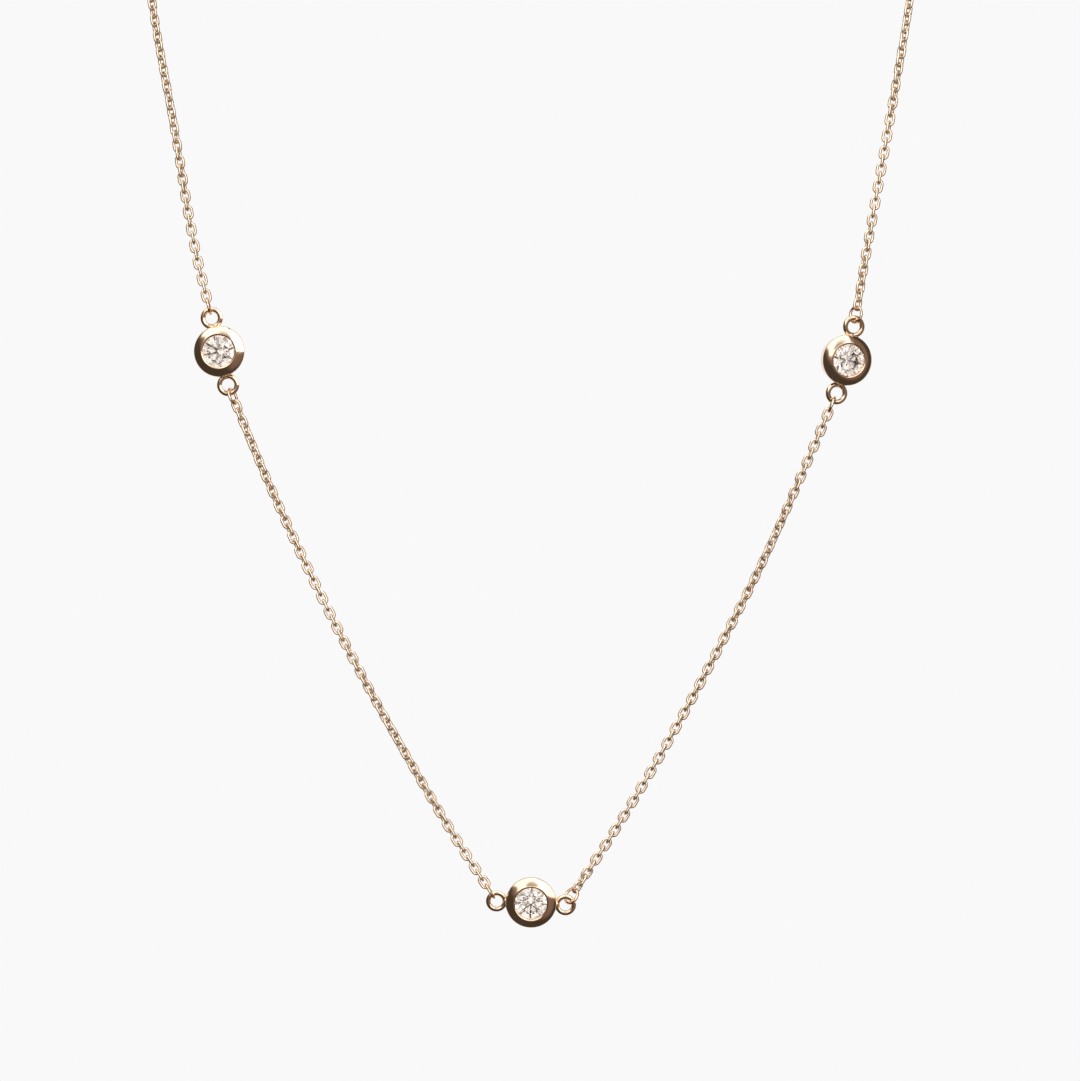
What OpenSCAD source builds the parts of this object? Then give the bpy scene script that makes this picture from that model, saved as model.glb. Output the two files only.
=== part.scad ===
// Station necklace: three round stones in closed bezels on a fine cable chain.
// It hangs as worn. The front lies in an upright plane that faces -Y, and the clasp is at the origin.

/* [Stones] */
// Diameter of each stone
stone_d = 3; // [2:0.1:5]
// Width of the flat table as a share of the stone's diameter
table_share = 0.56; // [0.5:0.01:0.65]
// Slope of the large crown facets, in degrees
crown_slope = 34.5; // [30:0.5:38]
// Slope of the large pavilion facets, in degrees
pavilion_slope = 40.8; // [38:0.2:43]
// Thickness of the girdle
girdle_h = 0.09; // [0.06:0.01:0.2]

/* [Bezels] */
// Width of the bezel's metal beyond the stone's edge
rim_w = 0.68; // [0.4:0.02:1.2]
// How far the lip folds over the stone's edge
lip_cover = 0.15; // [0.05:0.01:0.18]
// How far the lip stands above the stone's table
lip_rise = 0.07; // [0:0.01:0.3]
// How far the bezel's back lies behind the stone's tip
back_cover = 0.1; // [0.05:0.05:0.6]
// Slope of the bezel's side wall, narrower to the back, in degrees
wall_slope = 8; // [0:1:10]
// Width of the ledge that carries the stone
ledge_w = 0.3; // [0.2:0.05:0.6]
// Clearance between the stone and its seat
seat_gap = 0.03; // [0.02:0.01:0.06]

/* [Loops and rings] */
// Wire thickness of the loops soldered to the bezels
loop_wire = 0.44; // [0.3:0.02:0.6]
// Free room beside a ring's wire in a loop's hole
loop_room = 0.8; // [0.7:0.05:1.2]
// How far a loop sinks below the bezel's widest edge
solder_depth = 0.2; // [0.12:0.005:0.25]
// Diameter of the rounded solder at each loop's foot
solder_d = 0.78; // [0.5:0.02:0.84]
// How far behind the middle of the bezel's height the loops sit
loop_back = 0.2; // [0:0.05:0.3]
// Wire thickness of the jump rings
ring_wire = 0.25; // [0.2:0.01:0.32]
// Free room beside the loop's and the link's wires in a jump ring
ring_room = 0.42; // [0.4:0.02:0.8]
// Gap between neighbouring rings, loops and links that hang in each other
hang_gap = 0.03; // [0.02:0.01:0.06]
// The same gap where a ring hangs aslant in its loop
slant_gap = 0.12; // [0.08:0.01:0.14]

/* [Chain] */
// Wire thickness of the chain's links
link_wire = 0.24; // [0.18:0.01:0.27]
// Free length beside both neighbours' wires in a link
link_room = 0.25; // [0.24:0.01:0.5]
// Free width beside a neighbour's wire in a link
link_slack = 0.16; // [0.14:0.01:0.4]
// Play between neighbouring links along the chain
link_play = 0.06; // [0.05:0.01:0.12]

/* [Clasp] */
// Outer diameter of the clasp's ring
clasp_d = 5.5; // [5:0.1:8]
// Thickness of the clasp's ring
clasp_wire = 1; // [0.8:0.05:1.3]
// Outer diameter of the end ring that hooks into the clasp
end_ring_d = 3.2; // [3:0.1:4.5]
// Wire thickness of the end ring
end_ring_wire = 0.45; // [0.3:0.01:0.6]

/* [Hanging] */
// Depth from the clasp to the plane of the stones
front_depth = 93; // [80:1:110]
// Drop from the clasp to the middle stone
drop = 123; // [110:1:140]

/* [Hidden] */

// Chosen points of the chain's route, from the middle stone: across, back and up
LOWER_LEFT = [[-6.4, 0, 5.4], [-10, 0, 11.4], [-15, 0, 20.4], [-19.5, 0, 29.4], [-23.5, 0, 38.3]];
LOWER_RIGHT = [[6.5, 0, 5.2], [10.2, 0, 11.2], [15.2, 0, 20.2], [19.8, 0, 29.2], [23.8, 0, 38.2]];
FRONT_TOP = 76;
UPPER_LEFT = [[-28.5, 0, 54.8], [-30.6, 0, 66.7], [-32.3, 0.4, FRONT_TOP]];
UPPER_RIGHT = [[28.5, 0, 54.8], [30.6, 0, 66.7], [32.2, 0.4, FRONT_TOP]];
// The stretch round the neck, for the right side and mirrored for the left: across,
// then the shares of the depth in front of the clasp and of the height below it
AROUND = [
    [33.6, 0.973, 0.81], [36.3, 0.914, 0.617], [40.6, 0.806, 0.421],
    [45.5, 0.629, 0.245], [47, 0.425, 0.123], [41, 0.215, 0.045], [26, 0.054, 0.006]
];
// Each station's place from the middle one, the turn of its loops, its roll about them,
// the size of its loops as a share, how much further out they sit, and how far the bezel
// sits aside of the line through them
CENTER_STATION = [-0.03, 0, -0.03, -3.1, 8, 0.95, 0.05, 0.16];
LEFT_STATION = [-26.62, 0, 47.1, 103.8, -5, 1, 0, -0.03];
RIGHT_STATION = [26.82, 0, 46.38, 75.5, 14, 1, 0, 0];
// Turn of each jump ring about its chain, where 90 shows its edge to the front
EDGE_ON = 90;
NEAR_EDGE = -70;
HALF_OPEN = -50;
// Turns of the links along the lower runs, from share to share of the run
LEFT_TURNS = [[0, 90 - EDGE_ON], [0.3, 45], [0.58, 90], [0.93, 135], [1, 90 - NEAR_EDGE]];
RIGHT_TURNS = [
    [0, HALF_OPEN + 90], [0.06, 0], [0.2, 0], [0.4, -15], [0.6, -25], [0.75, -45], [0.89, -80], [1, -EDGE_ON]
];

// Facet counts and shares of a round brilliant
FACETS = 8;
FACET_STEP = 360 / FACETS;
star_share = 0.5;
half_share = 0.77;

// Levels of the stone above its girdle's middle
stone_r = stone_d / 2;
table_r = stone_r * table_share;
crown_z = girdle_h / 2;
table_z = crown_z + (stone_r - table_r) * tan(crown_slope);
tip_z = -crown_z - stone_r * tan(pavilion_slope);

// Levels of the bezel, from the girdle's middle
bezel_r = stone_r + rim_w;
lip_r = stone_r - lip_cover;
lip_z = table_z + lip_rise;
back_z = tip_z - back_cover;
loops_z = (lip_z + back_z) / 2 - loop_back;
seat_r = stone_r + seat_gap;
bore_r = stone_r - ledge_w;

// The lip's outer face is an arc between two slopes
LIP_SLOPE_IN = 20;
LIP_SLOPE_OUT = 52;
crest_round = 0.14;
edge_round = 0.22;
back_round = 0.3;

// Loops, rings and links
ring_hole = loop_wire + link_wire + ring_room;
ring_d = ring_hole + 2 * ring_wire;
loop_hole = ring_wire + loop_room;
loop_d = loop_hole + 2 * loop_wire;
link_pitch = 2 * link_wire + link_room;
link_l = link_pitch + link_play + 2 * link_wire;
link_hole = max(link_wire, ring_wire) + link_slack;
link_w = link_hole + 2 * link_wire;
chain_d = link_w;

// From a jump ring's middle to the end of the link that hangs in it
link_reach = ring_hole / 2 - hang_gap - link_wire;
clasp_hole = clasp_d - 2 * clasp_wire;
end_ring_hole = end_ring_d - 2 * end_ring_wire;
end_ring_reach = clasp_hole / 2 + end_ring_hole / 2 - hang_gap;
clasp_loop_reach = clasp_d / 2 + loop_d / 2 - solder_depth;

ROUND = 32;
TUBE_SIDES = 8;
TUBE_RINGS = 40;
CURVE_STEPS = 10;
LATE = 3;

GOLD = [0.86, 0.66, 0.47];
STONE = [0.93, 0.95, 0.97];

// Vectors and curves
function unit(v) = v / norm(v);
function last_of(p) = p[len(p) - 1];
function mirror_x(p) = [for (q = p) [-q[0], q[1], q[2]]];
function from_middle(p) = [p[0], p[1] - front_depth, p[2] - drop];
function round_neck(p) = [for (q = p) [q[0], -q[1] * front_depth, -q[2] * (drop - FRONT_TOP)]];
function all_from_middle(p) = [for (q = p) from_middle(q)];

// Slope of a smooth curve at one of its points
function slope_at(p, i) =
    i == 0 ? unit(p[1] - p[0]) :
    i == len(p) - 1 ? unit(p[i] - p[i - 1]) :
    let (before = norm(p[i] - p[i - 1]), after = norm(p[i + 1] - p[i]))
    (after * (p[i] - p[i - 1]) / before + before * (p[i + 1] - p[i]) / after) / (before + after);

// A point between points i and i + 1, at a share t of the way
function between(p, i, t) =
    let (span = norm(p[i + 1] - p[i]), t2 = t * t, t3 = t * t * t)
    (2 * t3 - 3 * t2 + 1) * p[i] + (t3 - 2 * t2 + t) * span * slope_at(p, i)
    + (3 * t2 - 2 * t3) * p[i + 1] + (t3 - t2) * span * slope_at(p, i + 1);

function smooth(p) = [
    for (i = [0 : len(p) - 2]) for (k = [0 : CURVE_STEPS - 1]) between(p, i, k / CURVE_STEPS),
    last_of(p)
];

// Each point's distance along a curve, and the tables that give a place at any distance
function distances(c) = [
    for (i = 0, s = 0; i < len(c); i = i + 1, s = i < len(c) ? s + norm(c[i] - c[i - 1]) : s) s
];
function place_table(c) = let (s = distances(c)) [
    for (axis = [0 : 2]) [for (i = [0 : len(c) - 1]) [s[i], c[i][axis]]]
];
function table_end(table) = last_of(table[0])[0];
function place_at(table, s) = [for (axis = [0 : 2]) lookup(s, table[axis])];

// Middle between a station's loops, the distance to them, and the middle of one of them
function station_place(st) = from_middle([st[0], st[1], st[2]]);
function loop_reach(st) = bezel_r + loop_d * st[5] / 2 - solder_depth + st[6];
function loop_place(st, side) =
    station_place(st) + side * loop_reach(st) * [cos(st[3]), 0, sin(st[3])];

// A jump ring in a loop: its middle, the way to the chain, and its turn about that way
function ring_in(loop, hole, next, turn, gap) =
    let (way = unit(next - loop))
    [loop + (hole / 2 + ring_hole / 2 - gap) * way, way, turn];
function station_ring(st, side, next, turn, gap = hang_gap) =
    ring_in(loop_place(st, side), loop_hole * st[5], from_middle(next), turn, gap);
function link_end(ring) = ring[0] + link_reach * ring[1];

// Length from the end of a link that hangs in a ring to just outside that ring
function past_ring(wire) = link_wire + wire + 2 * hang_gap;

CENTER_LEFT_RING = station_ring(CENTER_STATION, -1, LOWER_LEFT[0], EDGE_ON);
CENTER_RIGHT_RING = station_ring(CENTER_STATION, 1, LOWER_RIGHT[0], HALF_OPEN, slant_gap);
LEFT_BOTTOM_RING = station_ring(LEFT_STATION, -1, last_of(LOWER_LEFT), NEAR_EDGE);
LEFT_TOP_RING = station_ring(LEFT_STATION, 1, UPPER_LEFT[0], EDGE_ON);
RIGHT_BOTTOM_RING = station_ring(RIGHT_STATION, -1, last_of(LOWER_RIGHT), EDGE_ON);
RIGHT_TOP_RING = station_ring(RIGHT_STATION, 1, UPPER_RIGHT[0], HALF_OPEN);

lower_left = all_from_middle(LOWER_LEFT);
lower_right = all_from_middle(LOWER_RIGHT);
upper_left = concat(all_from_middle(UPPER_LEFT), mirror_x(round_neck(AROUND)));
upper_right = concat(all_from_middle(UPPER_RIGHT), round_neck(AROUND));

// The clasp lies flat against the neck, with a loop to the right and the end ring to the left
CLASP_LOOP = [clasp_loop_reach, 0, 0];
CLASP_RING = ring_in(CLASP_LOOP, loop_hole, 2 * CLASP_LOOP, EDGE_ON, hang_gap);
END_RING = [-end_ring_reach, 0, 0];
left_end = END_RING - [end_ring_hole / 2 - hang_gap - link_wire, 0, 0];

// Whole runs, from the inside of one ring to the inside of the next
run_lower_left = smooth(concat([link_end(CENTER_LEFT_RING)], lower_left, [link_end(LEFT_BOTTOM_RING)]));
run_lower_right = smooth(concat([link_end(CENTER_RIGHT_RING)], lower_right, [link_end(RIGHT_BOTTOM_RING)]));
run_upper_left = smooth(concat([link_end(LEFT_TOP_RING)], upper_left, [left_end]));
run_upper_right = smooth(concat([link_end(RIGHT_TOP_RING)], upper_right, [link_end(CLASP_RING)]));

// Stands a shape along a direction, turned about it
module along(place, way, turn = 0) {
    translate(place)
        rotate([0, acos(way[2] / norm(way)), atan2(way[1], way[0])])
            rotate([0, 0, turn])
                children();
}

// A round ring of wire in the XZ plane
module wire_ring(outer_d, wire) {
    rotate([90, 0, 0])
        rotate_extrude($fn = ROUND)
            translate([(outer_d - wire) / 2, 0])
                circle(d = wire, $fn = ROUND);
}

// One oval link along Z, flat in the XZ plane
module link() {
    bend_r = (link_w - link_wire) / 2;
    leg = link_l - link_w;
    for (end = [-1, 1])
        translate([0, 0, end * leg / 2])
            rotate([end * 90, 0, 0])
                rotate_extrude(angle = 180, $fn = ROUND)
                    translate([bend_r, 0])
                        circle(d = link_wire, $fn = ROUND);
    for (side = [-1, 1])
        translate([side * bend_r, 0, -leg / 2])
            cylinder(d = link_wire, h = leg, $fn = ROUND);
}

// Loose links along a run, each a quarter turn from the last besides the run's own turns.
// Late in the run they turn on to meet the last ring.
module linked_run(run, turns, last_ring, spare_links = 0) {
    table = place_table(run);
    spread = table_end(table) - link_l;
    last = ceil(spread / link_pitch) + spare_links;
    pitch = spread / last;
    miss = 90 - last_ring[2] - 90 * last - lookup(1, turns);
    twist = miss - 180 * round(miss / 180);
    for (i = [0 : last]) {
        s = link_l / 2 + i * pitch;
        way = place_at(table, s + pitch / 2) - place_at(table, s - pitch / 2);
        turn = 90 * i + lookup(i / last, turns) + twist * pow(i / last, LATE);
        along(place_at(table, s), way, turn)
            link();
    }
}

// A round tube of the chain's width along a run
module chain_tube(run, trim_start, trim_end) {
    table = place_table(run);
    start = trim_start;
    span = table_end(table) - trim_end - start;
    step = span / (TUBE_RINGS - 1);
    steady = [run[0][0] > 0 ? 1 : -1, -1, 1];
    rings = [for (i = [0 : TUBE_RINGS - 1])
        let (
            s = start + i * step,
            here = place_at(table, s),
            way = unit(place_at(table, s + step / 8) - place_at(table, s - step / 8)),
            across = unit(cross(way, steady)),
            other = cross(way, across)
        )
        for (k = [0 : TUBE_SIDES - 1])
            let (a = k * 360 / TUBE_SIDES)
            here + chain_d / 2 * (cos(a) * across + sin(a) * other)];
    sides = [for (i = [0 : TUBE_RINGS - 2]) for (k = [0 : TUBE_SIDES - 1])
        let (a = i * TUBE_SIDES + k, b = i * TUBE_SIDES + (k + 1) % TUBE_SIDES)
        [a, a + TUBE_SIDES, b + TUBE_SIDES, b]];
    first_cap = [for (k = [0 : TUBE_SIDES - 1]) k];
    last_cap = [for (k = [TUBE_SIDES - 1 : -1 : 0]) (TUBE_RINGS - 1) * TUBE_SIDES + k];
    polyhedron(rings, concat(sides, [first_cap, last_cap]), convexity = 10);
}

// Points of an arc in a section
function arc(center, r, from, to, steps) = [
    for (i = [0 : steps]) let (a = from + (to - from) * i / steps) center + r * [cos(a), sin(a)]
];

// Closed bezel about Z with its front at the top, level zero at its girdle's middle
module bezel_cup() {
    crest = [lip_r + crest_round, lip_z - crest_round];
    dome_r = (bezel_r - crest[0] - crest_round * sin(LIP_SLOPE_IN)
        - edge_round * (1 - sin(LIP_SLOPE_OUT))) / (sin(LIP_SLOPE_OUT) - sin(LIP_SLOPE_IN));
    dome = crest - (dome_r - crest_round) * [sin(LIP_SLOPE_IN), cos(LIP_SLOPE_IN)];
    edge = dome + (dome_r - edge_round) * [sin(LIP_SLOPE_OUT), cos(LIP_SLOPE_OUT)];
    side = edge + (edge_round - back_round) * [cos(wall_slope), -sin(wall_slope)];
    back = [
        side[0] - (side[1] - back_z - back_round) * tan(wall_slope),
        back_z + back_round
    ];
    section = concat(
        arc(crest, crest_round, 180, 90 - LIP_SLOPE_IN, 8),
        arc(dome, dome_r, 90 - LIP_SLOPE_IN, 90 - LIP_SLOPE_OUT, 10),
        arc(edge, edge_round, 90 - LIP_SLOPE_OUT, -wall_slope, 8),
        arc(back, back_round, -wall_slope, -90, 6),
        [
            [bore_r, back_z],
            [bore_r, -crown_z - seat_gap - ledge_w * tan(pavilion_slope)],
            [seat_r, -crown_z - seat_gap],
            [seat_r, crown_z + seat_gap],
            [lip_r, crown_z + seat_gap + lip_cover * tan(crown_slope)]
        ]
    );
    rotate_extrude($fn = ROUND)
        polygon(section);
}

// Corners of a facet ring about Z
function corners(count, first, r, z) = [
    for (i = [0 : count - 1]) let (a = first + i * 360 / count) [r * cos(a), r * sin(a), z]
];

// Round brilliant about Z with its table at the top, level zero at its girdle's middle
module brilliant() {
    half_turn = FACET_STEP / 2;
    table_flat = table_r * cos(half_turn);
    star_r = table_flat + star_share * (stone_r - table_flat);
    star_z = crown_z + (stone_r - star_r * cos(half_turn)) * tan(crown_slope);
    half_r = (1 - half_share) * stone_r;
    half_z = -crown_z - (stone_r - half_r * cos(half_turn)) * tan(pavilion_slope);
    points = concat(
        corners(FACETS, 0, table_r, table_z),
        corners(FACETS, half_turn, star_r, star_z),
        corners(2 * FACETS, 0, stone_r, crown_z),
        corners(2 * FACETS, 0, stone_r, -crown_z),
        corners(FACETS, half_turn, half_r, half_z),
        [[0, 0, tip_z]]
    );
    star = FACETS;
    upper = star + FACETS;
    lower = upper + 2 * FACETS;
    half = lower + 2 * FACETS;
    tip = half + FACETS;
    crown = [for (i = [0 : FACETS - 1])
        let (
            next = (i + 1) % FACETS,
            before = (i + FACETS - 1) % FACETS,
            here = upper + 2 * i,
            middle = here + 1,
            after = upper + 2 * next
        )
        each [
            [i, next, star + i],
            [i, star + i, here, star + before],
            [star + i, middle, here],
            [star + i, after, middle]
        ]];
    pavilion = [for (i = [0 : FACETS - 1])
        let (
            before = (i + FACETS - 1) % FACETS,
            here = lower + 2 * i,
            middle = here + 1,
            after = lower + 2 * ((i + 1) % FACETS)
        )
        each [
            [tip, half + before, here, half + i],
            [half + i, here, middle],
            [half + i, middle, after]
        ]];
    girdle = [for (i = [0 : 2 * FACETS - 1])
        let (next = (i + 1) % (2 * FACETS))
        [upper + i, upper + next, lower + next, lower + i]];
    table = [for (i = [FACETS - 1 : -1 : 0]) i];
    polyhedron(points, concat([table], crown, girdle, pavilion));
}

// Turns a shape's top to the front at a station
module at_station(st) {
    translate(station_place(st))
        rotate([90, 0, 0])
            rotate([0, 0, st[3]])
                rotate([st[4], 0, 0])
                    children();
}

module bezel(st) {
    share = st[5];
    color(GOLD) at_station(st) {
        translate([0, st[7], -loops_z])
            bezel_cup();
        for (side = [-1, 1]) {
            translate([side * loop_reach(st), 0, 0])
                rotate([90, 0, 0])
                    wire_ring(loop_d * share, loop_wire * share);
            translate([side * (loop_reach(st) - loop_d * share / 2), 0, 0])
                sphere(d = solder_d, $fn = ROUND);
        }
    }
}

module stone(st) {
    color(STONE) at_station(st)
        translate([0, st[7], -loops_z])
            brilliant();
}

module jump_ring(ring) {
    color(GOLD) along(ring[0], ring[1], ring[2])
        wire_ring(ring_d, ring_wire);
}

module bezel_center() bezel(CENTER_STATION);
module bezel_left() bezel(LEFT_STATION);
module bezel_right() bezel(RIGHT_STATION);
module stone_center() stone(CENTER_STATION);
module stone_left() stone(LEFT_STATION);
module stone_right() stone(RIGHT_STATION);

module ring_center_left() jump_ring(CENTER_LEFT_RING);
module ring_center_right() jump_ring(CENTER_RIGHT_RING);
module ring_left_bottom() jump_ring(LEFT_BOTTOM_RING);
module ring_left_top() jump_ring(LEFT_TOP_RING);
module ring_right_bottom() jump_ring(RIGHT_BOTTOM_RING);
module ring_right_top() jump_ring(RIGHT_TOP_RING);

module chain_lower_left() {
    color(GOLD) linked_run(run_lower_left, LEFT_TURNS, LEFT_BOTTOM_RING, 1);
}
module chain_lower_right() {
    color(GOLD) linked_run(run_lower_right, RIGHT_TURNS, RIGHT_BOTTOM_RING);
}
module chain_upper_left() {
    color(GOLD) chain_tube(run_upper_left, past_ring(ring_wire), past_ring(end_ring_wire));
}
module chain_upper_right() {
    color(GOLD) chain_tube(run_upper_right, past_ring(ring_wire), past_ring(ring_wire));
}

module ring_clasp_right() jump_ring(CLASP_RING);
module ring_clasp_left() {
    color(GOLD) along(END_RING, [-1, 0, 0], EDGE_ON) wire_ring(end_ring_d, end_ring_wire);
}

// The clasp: a plain closed ring with one soldered loop
module clasp() {
    color(GOLD) {
        wire_ring(clasp_d, clasp_wire);
        translate(CLASP_LOOP)
            wire_ring(loop_d, loop_wire);
    }
}

bezel_center();
bezel_left();
bezel_right();
stone_center();
stone_left();
stone_right();
ring_center_left();
ring_center_right();
ring_left_bottom();
ring_left_top();
ring_right_bottom();
ring_right_top();
chain_lower_left();
chain_lower_right();
chain_upper_left();
chain_upper_right();
ring_clasp_left();
ring_clasp_right();
clasp();
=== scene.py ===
# Station necklace: three round stones in closed gold bezels on a fine cable chain
import math
import random

import bpy
from mathutils import Matrix, Vector


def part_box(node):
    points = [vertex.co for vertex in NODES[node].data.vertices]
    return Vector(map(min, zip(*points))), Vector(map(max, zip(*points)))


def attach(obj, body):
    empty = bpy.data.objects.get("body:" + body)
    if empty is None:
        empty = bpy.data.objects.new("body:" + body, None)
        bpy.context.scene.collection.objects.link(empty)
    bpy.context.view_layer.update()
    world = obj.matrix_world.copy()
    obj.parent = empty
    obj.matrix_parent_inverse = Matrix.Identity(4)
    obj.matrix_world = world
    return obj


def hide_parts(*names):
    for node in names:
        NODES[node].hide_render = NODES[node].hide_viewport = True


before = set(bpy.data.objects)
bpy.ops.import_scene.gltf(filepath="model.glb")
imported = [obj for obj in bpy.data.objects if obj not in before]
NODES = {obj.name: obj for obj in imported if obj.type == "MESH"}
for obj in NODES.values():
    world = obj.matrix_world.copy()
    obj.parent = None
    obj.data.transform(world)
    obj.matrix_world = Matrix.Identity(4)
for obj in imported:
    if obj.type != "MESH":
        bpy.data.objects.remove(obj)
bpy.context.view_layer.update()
SCENE = bpy.context.scene
MM = 0.001

# The camera looks level along +Y at the upright plane of the stones
PHOTO_W, PHOTO_H = 1080, 1081
PIXELS_PER_MM = 11.7
FRONT_Y = -93
AIM_X, AIM_Z = 0.74, -92.05
CAMERA_DISTANCE = 450
SENSOR = 36
NEAREST, FARTHEST = 0.01, 10


def make_camera():
    data = bpy.data.cameras.new("camera")
    data.sensor_width = SENSOR
    long_side = max(PHOTO_W, PHOTO_H) / PIXELS_PER_MM
    data.lens = SENSOR * CAMERA_DISTANCE / long_side
    data.clip_start = NEAREST
    data.clip_end = FARTHEST
    camera = bpy.data.objects.new("camera", data)
    camera.location = Vector((AIM_X, FRONT_Y - CAMERA_DISTANCE, AIM_Z)) * MM
    camera.rotation_euler = (math.pi / 2, 0, 0)
    SCENE.collection.objects.link(camera)
    SCENE.camera = camera


# Small helpers for node trees
class Tree:
    def __init__(self, tree):
        self.tree = tree
        tree.nodes.clear()

    def add(self, kind, inputs=None, **props):
        node = self.tree.nodes.new(kind)
        for key, value in props.items():
            setattr(node, key, value)
        for key, value in (inputs or {}).items():
            if isinstance(value, bpy.types.NodeSocket):
                self.tree.links.new(value, node.inputs[key])
            else:
                node.inputs[key].default_value = value
        return node

    def math(self, operation, a, b):
        return self.add("ShaderNodeMath", {0: a, 1: b}, operation=operation).outputs[0]

    def dot(self, vector, way):
        node = self.add("ShaderNodeVectorMath", {0: vector, 1: way}, operation="DOT_PRODUCT")
        return node.outputs["Value"]

    def ramp(self, value, low, high, out_low=0.0, out_high=1.0):
        inputs = {"Value": value, "From Min": low, "From Max": high,
                  "To Min": out_low, "To Max": out_high}
        return self.add("ShaderNodeMapRange", inputs, interpolation_type="SMOOTHSTEP").outputs[0]

    def mix(self, factor, a, b):
        node = self.add("ShaderNodeMix", data_type="RGBA")
        for key, value in (("Factor", factor), ("A", a), ("B", b)):
            if isinstance(value, bpy.types.NodeSocket):
                self.tree.links.new(value, node.inputs[key])
            else:
                node.inputs[key].default_value = value
        return node.outputs["Result"]

    def noise(self, coordinates, scale, detail=2.0):
        inputs = {"Vector": coordinates, "Scale": scale, "Detail": detail}
        return self.add("ShaderNodeTexNoise", inputs).outputs["Fac"]


def new_material(name):
    material = bpy.data.materials.new(name)
    material.use_nodes = True
    tree = Tree(material.node_tree)
    shader = tree.add("ShaderNodeBsdfPrincipled")
    output = tree.add("ShaderNodeOutputMaterial")
    tree.tree.links.new(shader.outputs[0], output.inputs["Surface"])
    return material, tree, shader


# Polished gold: slow changes of tint and polish, and fine scuffs from the cloth
POLISHED = {"deep": (0.88, 0.64, 0.44, 1), "light": (0.95, 0.75, 0.56, 1),
            "rough": (0.10, 0.20), "scuffed": 0.25}
SOFT = {"deep": (0.86, 0.68, 0.50, 1), "light": (0.93, 0.77, 0.60, 1),
        "rough": (0.28, 0.40), "scuffed": 0.3}
TINT_SCALE = 700
POLISH_SCALE = 1500
SCUFF_SCALE = 5200
SCUFF_HEIGHT = 0.0000015
NOISE_LOW, NOISE_HIGH = 0.3, 0.7


def gold_material(name, deep, light, rough, scuffed):
    material, tree, shader = new_material(name)
    place = tree.add("ShaderNodeTexCoord").outputs["Object"]
    tint = tree.ramp(tree.noise(place, TINT_SCALE), NOISE_LOW, NOISE_HIGH)
    polish = tree.ramp(tree.noise(place, POLISH_SCALE, 3.0), NOISE_LOW, NOISE_HIGH, *rough)
    scuffs = tree.noise(place, SCUFF_SCALE, 4.0)
    bump = tree.add("ShaderNodeBump", {"Height": scuffs, "Strength": scuffed,
                                       "Distance": SCUFF_HEIGHT})
    tree.tree.links.new(tree.mix(tint, deep, light), shader.inputs["Base Color"])
    tree.tree.links.new(polish, shader.inputs["Roughness"])
    tree.tree.links.new(bump.outputs[0], shader.inputs["Normal"])
    shader.inputs["Metallic"].default_value = 1.0
    return material


# Cut stone: clear and strongly refracting, with the faintest uneven tint
CLEAR_SCALE = 900
CLEAR_COOL = (0.985, 0.985, 0.99, 1)
CLEAR_WHITE = (1.0, 1.0, 1.0, 1)
STONE_IOR = 2.42


def stone_material(name):
    material, tree, shader = new_material(name)
    place = tree.add("ShaderNodeTexCoord").outputs["Object"]
    clear = tree.ramp(tree.noise(place, CLEAR_SCALE), NOISE_LOW, NOISE_HIGH)
    tint = tree.mix(clear, CLEAR_COOL, CLEAR_WHITE)
    tree.tree.links.new(tint, shader.inputs["Base Color"])
    shader.inputs["Roughness"].default_value = 0.0
    shader.inputs["IOR"].default_value = STONE_IOR
    shader.inputs["Transmission Weight"].default_value = 1.0
    return material


# Pale floor with a faint grain
FLOOR_GRAIN = 60
FLOOR_DEEP = (0.652, 0.649, 0.642, 1)
FLOOR_LIGHT = (0.66, 0.657, 0.65, 1)
FLOOR_ROUGH = 0.7
FLOOR_GLOSS = 0.05


def floor_material():
    material, tree, shader = new_material("pale_floor")
    place = tree.add("ShaderNodeTexCoord").outputs["Object"]
    grain = tree.ramp(tree.noise(place, FLOOR_GRAIN, 4.0), NOISE_LOW, NOISE_HIGH)
    tint = tree.mix(grain, FLOOR_DEEP, FLOOR_LIGHT)
    tree.tree.links.new(tint, shader.inputs["Base Color"])
    shader.inputs["Roughness"].default_value = FLOOR_ROUGH
    shader.inputs["Specular IOR Level"].default_value = FLOOR_GLOSS
    return material


def dress(node, material):
    for slot in NODES[node].material_slots:
        slot.material = material


# The chain's route, in millimetres, as the solids have it, from the side stations to the neck
MIDDLE = Vector((0, FRONT_Y, -123))
FRONT_TOP = 76
DEPTH, DROP_ABOVE = 93, 47
UPPER_LEFT = [(-28.5, 0, 54.8), (-30.6, 0, 66.7), (-32.3, 0.4, FRONT_TOP)]
UPPER_RIGHT = [(28.5, 0, 54.8), (30.6, 0, 66.7), (32.2, 0.4, FRONT_TOP)]
# Round the neck: distance from the middle, and shares of DEPTH and DROP_ABOVE before and below the clasp
AROUND = [
    (33.6, 0.973, 0.81), (36.3, 0.914, 0.617), (40.6, 0.806, 0.421),
    (45.5, 0.629, 0.245), (47, 0.425, 0.123), (41, 0.215, 0.045), (26, 0.054, 0.006),
]
CURVE_STEPS = 10

# One link, and the reach from the middle of a ring to the end of its link, in millimetres
LINK_WIRE = 0.24
LINK_PITCH = 0.73
LINK_LENGTH = 1.27
LINK_WIDTH = 0.89
LINK_REACH = 0.28
END_RING_REACH = 0.88
BEND_STEPS = 12
WIRE_SIDES = 10

# Turns of the links: millimetres from the lower end of the run, and degrees from facing the front.
# What is missing at the upper end comes late in the run, and each link strays by a few degrees.
LATE = 3
JITTER = 5
LEFT_TURNS = [(0, 0), (6, 0), (10, -15), (13, -25), (18, -45), (27, -55), (60, -60)]
RIGHT_TURNS = [
    (0, 40), (2.5, 28), (6, 14), (9, 0), (12, 0), (15, -12), (18, -25), (22, -43), (27, -52),
]
LEFT_SEED, RIGHT_SEED = 3, 5


def middle_of(node):
    low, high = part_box(node)
    return (low + high) / 2 / MM


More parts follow.
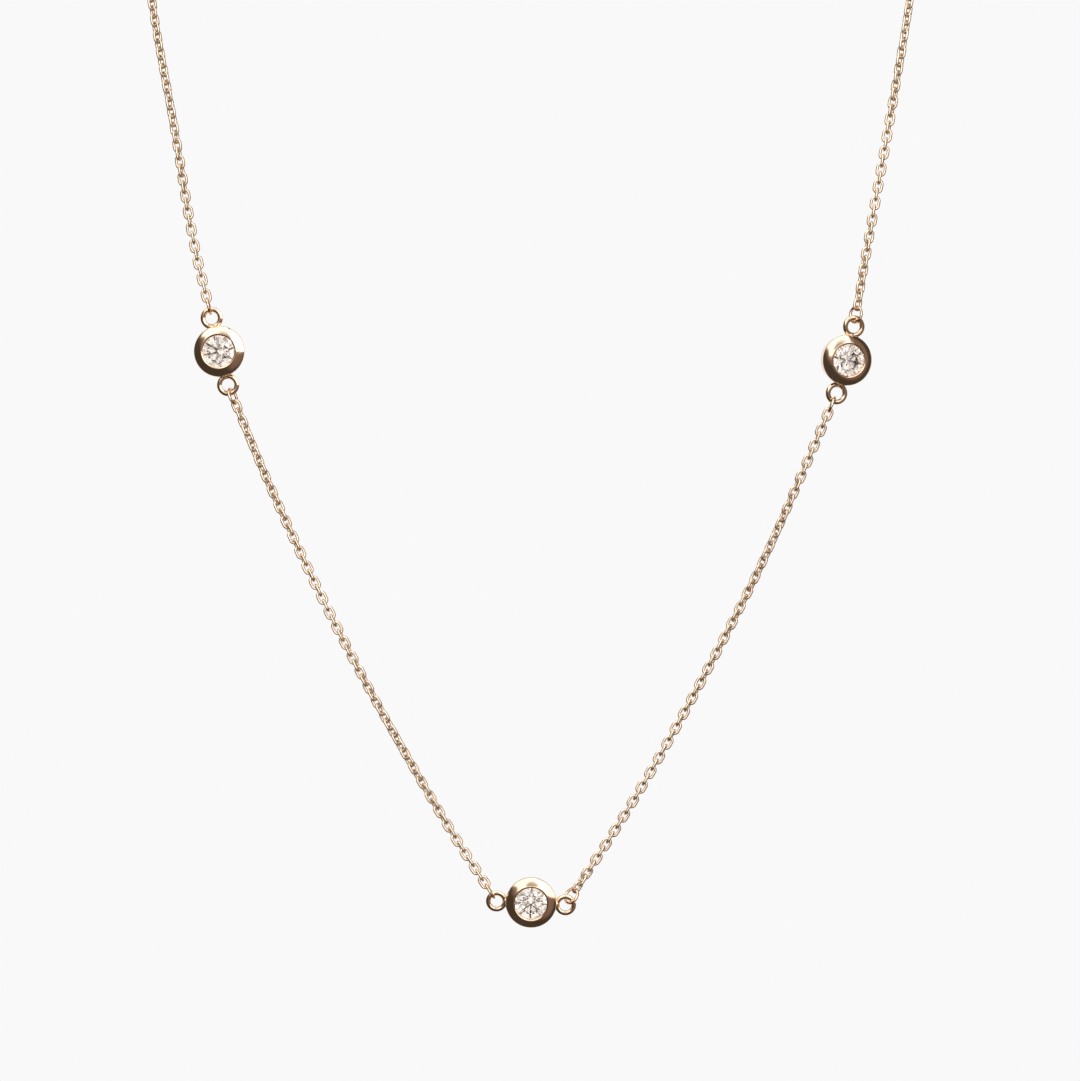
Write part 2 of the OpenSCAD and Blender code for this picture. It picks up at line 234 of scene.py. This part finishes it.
# Slope of the smooth curve through the points, weighted by the lengths of the spans on both sides
def slope_at(points, i):
    if i == 0:
        return (points[1] - points[0]).normalized()
    if i == len(points) - 1:
        return (points[i] - points[i - 1]).normalized()
    before = (points[i] - points[i - 1]).length
    after = (points[i + 1] - points[i]).length
    one = after * (points[i] - points[i - 1]) / before
    two = before * (points[i + 1] - points[i]) / after
    return (one + two) / (before + after)


# Point of the smooth curve at the share t of the span after point i
def between(points, i, t):
    span = (points[i + 1] - points[i]).length
    t2, t3 = t * t, t * t * t
    return ((2 * t3 - 3 * t2 + 1) * points[i] + (t3 - 2 * t2 + t) * span * slope_at(points, i)
            + (3 * t2 - 2 * t3) * points[i + 1] + (t3 - t2) * span * slope_at(points, i + 1))


# A smooth curve through the points, measured along its length
class Route:
    def __init__(self, points):
        spans = range(len(points) - 1)
        self.curve = [between(points, i, k / CURVE_STEPS) for i in spans for k in range(CURVE_STEPS)]
        self.curve.append(points[-1])
        self.at = [0.0]
        for a, b in zip(self.curve, self.curve[1:]):
            self.at.append(self.at[-1] + (b - a).length)
        self.length = self.at[-1]

    def place(self, s):
        if s <= 0:
            return self.curve[0]
        for i in range(1, len(self.at)):
            if s <= self.at[i]:
                share = (s - self.at[i - 1]) / (self.at[i] - self.at[i - 1])
                return self.curve[i - 1].lerp(self.curve[i], share)
        return self.curve[-1]


# An oval link standing along Z: round wire along two half circles and the straight legs between them
def link_shape():
    bend_r = (LINK_WIDTH - LINK_WIRE) / 2
    leg = (LINK_LENGTH - LINK_WIDTH) / 2
    path = []
    for end in (1, -1):
        for k in range(BEND_STEPS + 1):
            a = math.pi * k / BEND_STEPS
            path.append((end * bend_r * math.cos(a), end * (leg + bend_r * math.sin(a)), end * a, end))
    verts = []
    for x, z, a, end in path:
        out = Vector((math.cos(a) * end, 0, math.sin(abs(a)) * end))
        for k in range(WIRE_SIDES):
            b = 2 * math.pi * k / WIRE_SIDES
            round_wire = math.cos(b) * out + Vector((0, math.sin(b), 0))
            verts.append(Vector((x, 0, z)) + LINK_WIRE / 2 * round_wire)
    n = len(path)
    faces = []
    for i in range(n):
        for k in range(WIRE_SIDES):
            a, b = i * WIRE_SIDES + k, i * WIRE_SIDES + (k + 1) % WIRE_SIDES
            c, d = (b + WIRE_SIDES) % (n * WIRE_SIDES), (a + WIRE_SIDES) % (n * WIRE_SIDES)
            faces.append((a, b, c, d))
    return verts, faces


# Value at a distance from a list of distances and values
def lookup(table, s):
    for (a, low), (b, high) in zip(table, table[1:]):
        if s <= b:
            return low + (high - low) * (s - a) / (b - a)
    return table[-1][1]


# Places along a route with the way on and a side direction that turns no more than the way does
def frames(route, count, pitch):
    across = Vector((1, 0, 0))
    result = []
    for i in range(count):
        s = LINK_LENGTH / 2 + i * pitch
        way = (route.place(s + pitch / 2) - route.place(s - pitch / 2)).normalized()
        across = (across - across.dot(way) * way).normalized()
        result.append((s, route.place(s), way, across))
    return result


# Loose links along a route, each a quarter turn from the last, the last of them upright
def chain_piece(name, node, route, turns, material, seed):
    rng = random.Random(seed)
    last = math.ceil((route.length - LINK_LENGTH) / LINK_PITCH)
    stands = frames(route, last + 1, (route.length - LINK_LENGTH) / last)
    s, place, way, across = stands[-1]
    upright = math.degrees(math.atan2(way.cross(across).z, across.z))
    miss = upright - 90 * last - lookup(turns, s)
    late = miss - 180 * round(miss / 180)
    verts, faces = [], []
    shape, shape_faces = link_shape()
    for i, (s, place, way, across) in enumerate(stands):
        turn = 90 * i + lookup(turns, s) + late * (i / last) ** LATE
        turn += rng.uniform(-JITTER, JITTER) * min(1, i / 3, (last - i) / 3)
        side = Matrix.Rotation(math.radians(turn), 3, way) @ across
        stand = Matrix((side, way.cross(side), way)).transposed().to_4x4()
        stand.translation = place
        base = len(verts)
        verts.extend((stand @ v) * MM for v in shape)
        faces.extend(tuple(base + k for k in f) for f in shape_faces)
    mesh = bpy.data.meshes.new(name)
    mesh.from_pydata(verts, [], faces)
    mesh.polygons.foreach_set("use_smooth", [True] * len(mesh.polygons))
    mesh.update()
    piece = bpy.data.objects.new(name, mesh)
    SCENE.collection.objects.link(piece)
    mesh.materials.append(material)
    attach(piece, "root")
    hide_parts(node)
    return piece


def front_points(points):
    return [MIDDLE + Vector(p) for p in points]


def neck_points(side):
    return [Vector((side * x, -front * DEPTH, -below * DROP_ABOVE)) for x, front, below in AROUND]


def upper_route(ring, front, side, end):
    start = middle_of(ring)
    first = start + LINK_REACH * (front[0] - start).normalized()
    return Route([first] + front + neck_points(side) + [end])


def make_chains(material):
    left_end = middle_of("ring_clasp_left") - Vector((END_RING_REACH, 0, 0))
    right_end = middle_of("ring_clasp_right") + Vector((LINK_REACH, 0, 0))
    left = upper_route("ring_left_top", front_points(UPPER_LEFT), -1, left_end)
    right = upper_route("ring_right_top", front_points(UPPER_RIGHT), 1, right_end)
    return [
        chain_piece("links_upper_left", "chain_upper_left", left, LEFT_TURNS, material, LEFT_SEED),
        chain_piece("links_upper_right", "chain_upper_right", right, RIGHT_TURNS, material, RIGHT_SEED),
    ]


# The pale floor below the hanging necklace
FLOOR_Z = -0.245
FLOOR_RADIUS = 0.6
FLOOR_BACK = -0.05
FLOOR_CORNERS = 96


def make_floor():
    bpy.ops.mesh.primitive_circle_add(vertices=FLOOR_CORNERS, radius=FLOOR_RADIUS, fill_type="NGON",
                                      location=(0, FLOOR_BACK, FLOOR_Z))
    floor = bpy.context.object
    floor.name = "floor"
    floor.data.materials.append(floor_material())
    floor.visible_glossy = False
    floor.visible_transmission = False


# Studio surroundings: near-white behind, a broad soft light above the front, dark below
BACKDROP = (0.947, 0.947, 0.947, 1)
DARK_ROOM = (0.064, 0.051, 0.041, 1)
SOFT_LIGHT = (1.8, 1.82, 1.8, 1)
WARM_EDGE = (0.22, 0.16, 0.13, 1)
WARM_GLOW = (0.21, 0.15, 0.13, 1)
WHITE_WALL = (0.9, 0.89, 0.88, 1)
MATT_LIGHT = (0.85, 0.85, 0.85, 1)
IN_STONE_DARK = (0.13, 0.105, 0.09, 1)
IN_STONE_GREEN, IN_STONE_BLUE = 0.895, 0.82
PATCH_SCALE = 2.6


# What the gold shows: the soft light inside its four edges, a dark lens above the camera, warm glows
def gold_surroundings(tree, way, ahead):
    left_side = tree.ramp(tree.dot(way, (1.0, 0.28, 0.14)), -0.82, -0.68)
    right_side = tree.ramp(tree.dot(way, (1.0, 0.34, 0.0)), 0.36, 0.22)
    top_side = tree.ramp(ahead, -0.36, -0.2)
    low_side = tree.ramp(tree.dot(way, (0.0, -0.45, 0.9)), 0.44, 0.58)
    light = tree.math("MULTIPLY", tree.math("MULTIPLY", left_side, right_side),
                      tree.math("MULTIPLY", top_side, low_side))
    above = tree.dot(way, (0.35, -0.5, 0.8))
    edge = tree.math("MULTIPLY", tree.ramp(above, 0.0, 0.36), tree.ramp(ahead, -0.05, 0.2))
    lens_low = tree.ramp(tree.dot(way, (0.03, -0.848, 0.53)), 0.95, 0.98, 0.0, 0.75)
    lens_high = tree.ramp(tree.dot(way, (0.06, -0.681, 0.73)), 0.945, 0.985, 0.0, 0.5)
    lens = tree.math("MAXIMUM", lens_low, lens_high)
    glow = tree.ramp(tree.dot(way, (0.7, -0.6, -0.4)), 0.76, 0.98)
    wall = tree.ramp(ahead, -0.55, -0.75)
    dark = tree.mix(glow, tree.mix(edge, DARK_ROOM, WARM_EDGE), WARM_GLOW)
    room = tree.mix(wall, dark, WHITE_WALL)
    return tree.mix(lens, tree.mix(light, room, SOFT_LIGHT), DARK_ROOM)


# What the stones show: patches of light, dark straight ahead and a little to the right
def stone_surroundings(tree, way, ahead):
    patches = tree.ramp(tree.noise(way, PATCH_SCALE, 1.0), 0.40, 0.56, 0.80, 1.55)
    green = tree.math("MULTIPLY", patches, IN_STONE_GREEN)
    blue = tree.math("MULTIPLY", patches, IN_STONE_BLUE)
    light = tree.add("ShaderNodeCombineColor", {0: patches, 1: green, 2: blue}).outputs[0]
    aside = tree.ramp(tree.dot(way, (0.6, -0.8, 0.0)), 0.95, 0.99, 0.0, 0.6)
    shade = tree.math("MAXIMUM", tree.ramp(ahead, 0.94, 0.987), aside)
    return tree.mix(shade, light, IN_STONE_DARK)


def make_world():
    world = bpy.data.worlds.new("studio")
    SCENE.world = world
    world.use_nodes = True
    tree = Tree(world.node_tree)
    way = tree.add("ShaderNodeTexCoord").outputs["Generated"]
    rays = tree.add("ShaderNodeLightPath").outputs
    ahead = tree.dot(way, (0.0, -1.0, 0.0))
    for_gold = gold_surroundings(tree, way, ahead)
    shiny = tree.mix(rays["Is Transmission Ray"], for_gold, stone_surroundings(tree, way, ahead))
    matt = tree.mix(rays["Is Diffuse Ray"], shiny, MATT_LIGHT)
    colour = tree.mix(rays["Is Camera Ray"], matt, BACKDROP)
    background = tree.add("ShaderNodeBackground", {"Color": colour, "Strength": 1.0})
    output = tree.add("ShaderNodeOutputWorld")
    tree.tree.links.new(background.outputs[0], output.inputs["Surface"])


# Soft key light for the floor, in metres and watts
KEY_SIZE = 0.5
KEY_POWER = 6
KEY_PLACE = (-0.15, -0.45, 0.6)
KEY_FACING = (0.15, 0.40, -0.7)


def make_key_light():
    data = bpy.data.lights.new("key", "AREA")
    data.size = KEY_SIZE
    data.energy = KEY_POWER
    key = bpy.data.objects.new("key", data)
    key.location = KEY_PLACE
    key.rotation_euler = Vector(KEY_FACING).to_track_quat("-Z", "Y").to_euler()
    key.visible_glossy = False
    SCENE.collection.objects.link(key)


# Bright panels, each for the pieces that show one: places and sizes in millimetres
PANEL_X = 80
LEFT_PANEL = {"before": 92, "above": 150, "wide": 255, "high": 300, "light": 2.4}
MIDDLE_PANEL = {"before": 55, "above": 175, "wide": 170, "high": 344, "light": 1.8}
CHAIN_PANEL = {"before": 300, "above": 60, "wide": 400, "high": 400}
CHAIN_LIGHT, RIGHT_CHAIN_LIGHT = 1.15, 0.65


def make_panel(name, place, facing, wide, high, light, pieces):
    data = bpy.data.lights.new(name, "AREA")
    data.shape = "RECTANGLE"
    data.size = wide * MM
    data.size_y = high * MM
    data.energy = light * math.pi * wide * high * MM * MM
    panel = bpy.data.objects.new(name, data)
    panel.location = place * MM
    panel.rotation_euler = Vector(facing).to_track_quat("-Z", "Y").to_euler()
    panel.visible_camera = False
    panel.visible_transmission = False
    panel.visible_diffuse = False
    SCENE.collection.objects.link(panel)
    lit = bpy.data.collections.new("lit_by_" + name)
    for piece in pieces:
        lit.objects.link(piece)
    panel.light_linking.receiver_collection = lit


def side_panel(name, station, before, above, wide, high, light):
    place = Vector((PANEL_X, FRONT_Y - before, middle_of(station).z + above))
    make_panel(name, place, (-1, 0, 0), wide, high, light, [NODES[station]])


def chain_panel(name, pieces, before, above, wide, high, light):
    place = Vector((0, FRONT_Y - before, middle_of("bezel_center").z + above))
    make_panel(name, place, (0, 1, 0), wide, high, light, pieces)


make_camera()
gold = gold_material("polished_gold", **POLISHED)
link_gold = gold_material("link_gold", **SOFT)
stone = stone_material("clear_stone")
for node in NODES:
    dress(node, stone if node.startswith("stone") else link_gold if "chain" in node else gold)
upper_links = make_chains(link_gold)
make_floor()
make_world()
make_key_light()
side_panel("left_panel", "bezel_left", **LEFT_PANEL)
side_panel("middle_panel", "bezel_center", **MIDDLE_PANEL)
fine_wire = [NODES[node] for node in NODES if node.startswith(("chain_lower_left", "ring"))]
chain_panel("chain_panel", fine_wire + upper_links, light=CHAIN_LIGHT, **CHAIN_PANEL)
right_wire = [NODES["chain_lower_right"]]
chain_panel("right_chain_panel", right_wire, light=RIGHT_CHAIN_LIGHT, **CHAIN_PANEL)
SCENE.view_settings.view_transform = "Standard"
